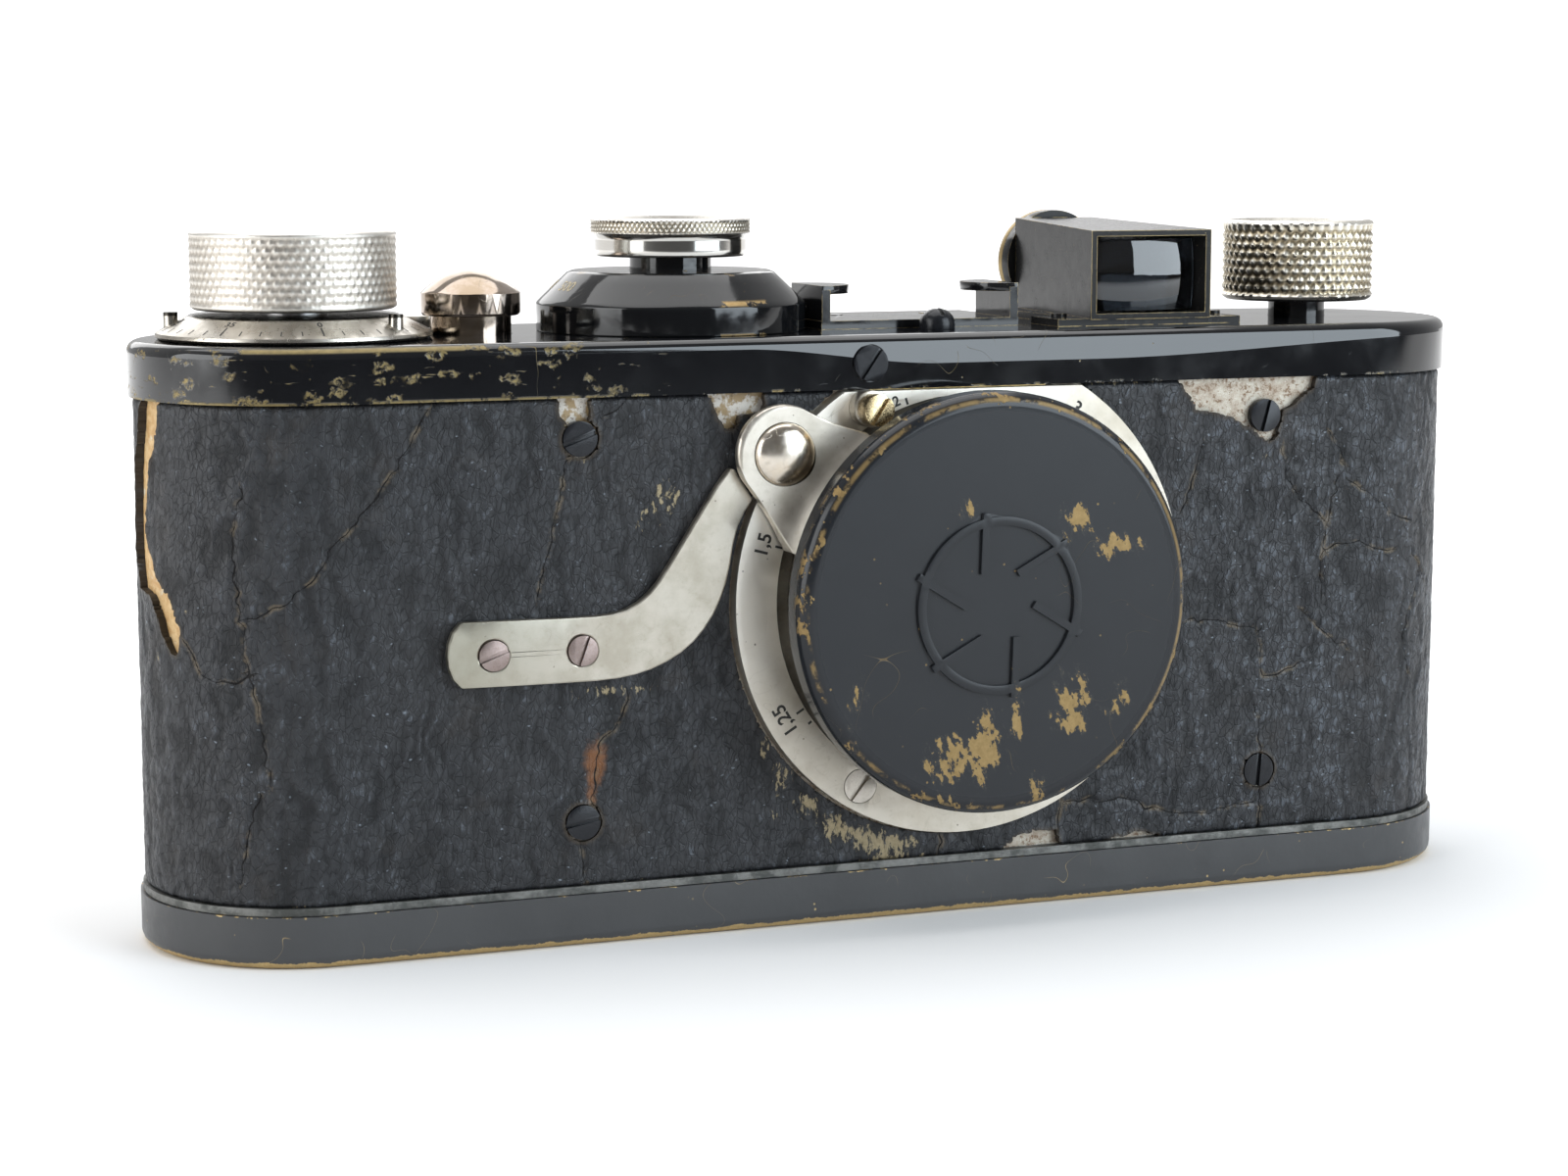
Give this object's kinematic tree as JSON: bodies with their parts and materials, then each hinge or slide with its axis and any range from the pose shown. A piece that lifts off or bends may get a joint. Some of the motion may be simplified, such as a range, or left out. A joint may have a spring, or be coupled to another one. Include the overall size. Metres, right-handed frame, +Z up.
{
  "type": "viewfinder camera",
  "caption": "Compact round-ended film camera body with top knobs, boxy viewfinder, accessory shoe and a capped collapsible lens on a lever focusing mount.",
  "frame": {"origin": "centre of the base plate's underside", "axes": "+X towards the rewind knob, -Y out of the lens, +Z up through the top plate"},
  "size_m": [0.133, 0.0393, 0.0655],
  "materials": {
    "shell_metal": "bare drawn tube, dull",
    "leather_black": "wrinkled black covering, dry and cracked",
    "black_enamel": "glossy black enamel worn to brass at the edges",
    "black_satin": "satin black paint worn to brass",
    "black_screw": "blackened steel screws",
    "nickel_matte": "frosted nickel plate, knurled",
    "nickel_satin": "satin nickel plate",
    "nickel_bright": "polished nickel plate",
    "brass_raw": "bare brass",
    "steel": "machined steel",
    "cast_alloy": "cast alloy",
    "curtain_cloth": "rubberised cloth",
    "spool_black": "black spool",
    "optical_glass": "clear glass"
  },
  "bodies": {
    "camera": {"body_shell": "shell_metal", "leather_cover": "leather_black", "top_plate": "black_enamel", "top_plate_screw_front": "black_screw", "top_plate_screw_rear": "black_screw", "body_screws": "black_screw", "chassis": "cast_alloy", "film_gate": "black_satin", "pressure_plate": "steel", "pressure_springs": "steel", "first_curtain": "curtain_cloth", "accessory_shoe": "black_satin", "shoe_screw": "black_screw", "finder_housing": "black_satin", "finder_front_lens": "optical_glass", "finder_eyepiece": "brass_raw", "finder_eye_lens": "optical_glass", "speed_boss": "black_enamel", "helicoid_ring": "brass_raw", "lens_flange": "nickel_satin", "flange_screw_lower": "nickel_satin", "flange_screw_side": "nickel_satin", "stop_collar": "nickel_satin", "stop_screw": "brass_raw", "catch_strip": "nickel_satin", "catch_screws": "steel", "release_spring": "steel"},
    "wind": {"wind_knob": "nickel_matte", "wind_shaft": "steel", "take_up_spool": "spool_black"},
    "counter": {"counter_dial": "nickel_satin"},
    "sprocket": {"sprocket_shaft": "steel"},
    "drum": {"drum_shaft": "steel", "second_curtain": "curtain_cloth"},
    "roller_one": {"curtain_rollers_a": "steel"},
    "roller_two": {"curtain_rollers_b": "steel"},
    "release": {"release_button": "nickel_bright"},
    "speed_neck": {"speed_stem": "black_satin"},
    "speed_dial": {"speed_knob": "nickel_matte"},
    "rewind": {"rewind_knob": "nickel_matte", "rewind_shaft": "black_satin"},
    "clutch": {"clutch_lever": "nickel_satin"},
    "carrier": {"helicoid_carrier": "brass_raw"},
    "focus": {"focus_tube": "nickel_satin", "focus_lever": "nickel_satin"},
    "lock_button": {"infinity_button": "nickel_bright"},
    "barrel": {"lens_tube": "nickel_bright", "front_ring": "nickel_satin", "lens_cell": "black_satin", "front_glass": "optical_glass", "iris": "black_satin", "rear_glass": "optical_glass"},
    "aperture": {"aperture_ring": "nickel_satin"},
    "cap": {"lens_cap": "black_satin"},
    "base": {"base_plate": "black_satin", "tripod_bush": "brass_raw"},
    "key": {"lock_key": "nickel_satin", "lock_bar": "steel"},
    "key_loop": {"key_ring": "nickel_satin"}
  },
  "joints": [
    {"name": "wind_turn", "type": "hinge", "parent": "camera", "child": "wind", "pos_m": [-0.0515, 0, 0.06], "axis": [0, 0, 1], "continuous": true},
    {"name": "counter_turn", "type": "hinge", "parent": "camera", "child": "counter", "pos_m": [-0.0515, 0, 0.056], "axis": [0, 0, 1], "continuous": true},
    {"name": "sprocket_turn", "type": "hinge", "parent": "camera", "child": "sprocket", "pos_m": [-0.035, 0, 0.04], "axis": [0, 0, 1], "continuous": true},
    {"name": "drum_turn", "type": "hinge", "parent": "camera", "child": "drum", "pos_m": [-0.0155, 0, 0.04], "axis": [0, 0, 1], "continuous": true},
    {"name": "roller_one_turn", "type": "hinge", "parent": "camera", "child": "roller_one", "pos_m": [0.0318, 0.001, 0.03], "axis": [0, 0, 1], "continuous": true},
    {"name": "roller_two_turn", "type": "hinge", "parent": "camera", "child": "roller_two", "pos_m": [0.0336, -0.0062, 0.03], "axis": [0, 0, 1], "continuous": true},
    {"name": "release_press", "type": "slide", "parent": "camera", "child": "release", "axis": [0, 0, -1], "range_m": [0, 0.001], "stiffness_N_per_m": 400, "deforming": ["release_spring"]},
    {"name": "speed_lift", "type": "slide", "parent": "drum", "child": "speed_neck", "axis": [0, 0, 1], "range_m": [0, 0.002], "stiffness_N_per_m": 250},
    {"name": "speed_set", "type": "hinge", "parent": "speed_neck", "child": "speed_dial", "pos_m": [-0.0155, 0, 0.064], "axis": [0, 0, 1], "range_deg": [0, 200]},
    {"name": "rewind_turn", "type": "hinge", "parent": "camera", "child": "rewind", "pos_m": [0.0518, 0, 0.06], "axis": [0, 0, 1], "continuous": true},
    {"name": "clutch_turn", "type": "hinge", "parent": "camera", "child": "clutch", "pos_m": [-0.0385, 0.0105, 0.0555], "axis": [0, 0, 1], "range_deg": [-35, 0]},
    {"name": "lens_advance", "type": "slide", "parent": "camera", "child": "carrier", "axis": [0, -1, 0], "range_m": [0, 0.00259]},
    {"name": "focus_turn", "type": "hinge", "parent": "carrier", "child": "focus", "pos_m": [0.008, -0.016, 0.0306], "axis": [0, -1, 0], "range_deg": [0, 303.5]},
    {"name": "lock_press", "type": "slide", "parent": "focus", "child": "lock_button", "axis": [0, 1, 0], "range_m": [0, 0.0005], "stiffness_N_per_m": 200},
    {"name": "lens_extend", "type": "slide", "parent": "focus", "child": "barrel", "axis": [0, -1, 0], "range_m": [0, 0.018]},
    {"name": "aperture_turn", "type": "hinge", "parent": "barrel", "child": "aperture", "pos_m": [0.008, -0.022, 0.0306], "axis": [0, -1, 0], "range_deg": [0, 80]},
    {"name": "cap_pull", "type": "slide", "parent": "barrel", "child": "cap", "axis": [0, -1, 0], "range_m": [0, 0.06]},
    {"name": "base_drop", "type": "slide", "parent": "camera", "child": "base", "axis": [0, 0, -1], "range_m": [0, 0.03]},
    {"name": "key_turn", "type": "hinge", "parent": "base", "child": "key", "pos_m": [0.0515, 0, 0.002], "axis": [0, 0, 1], "range_deg": [0, 180]},
    {"name": "loop_fold", "type": "hinge", "parent": "key", "child": "key_loop", "pos_m": [0.0515, 0, 0.00055], "axis": [0, 1, 0], "range_deg": [0, 90]}
  ],
  "couplings": [
    {"joint": "counter_turn", "follows": "wind_turn", "ratio": -0.025},
    {"joint": "sprocket_turn", "follows": "wind_turn", "ratio": -1},
    {"joint": "drum_turn", "follows": "wind_turn", "ratio": 0.73333},
    {"joint": "roller_one_turn", "follows": "wind_turn", "ratio": 1.69},
    {"joint": "roller_two_turn", "follows": "wind_turn", "ratio": 1.69},
    {"joint": "focus_turn", "follows": "lens_advance", "rad_per_m": 2040.8}
  ]
}
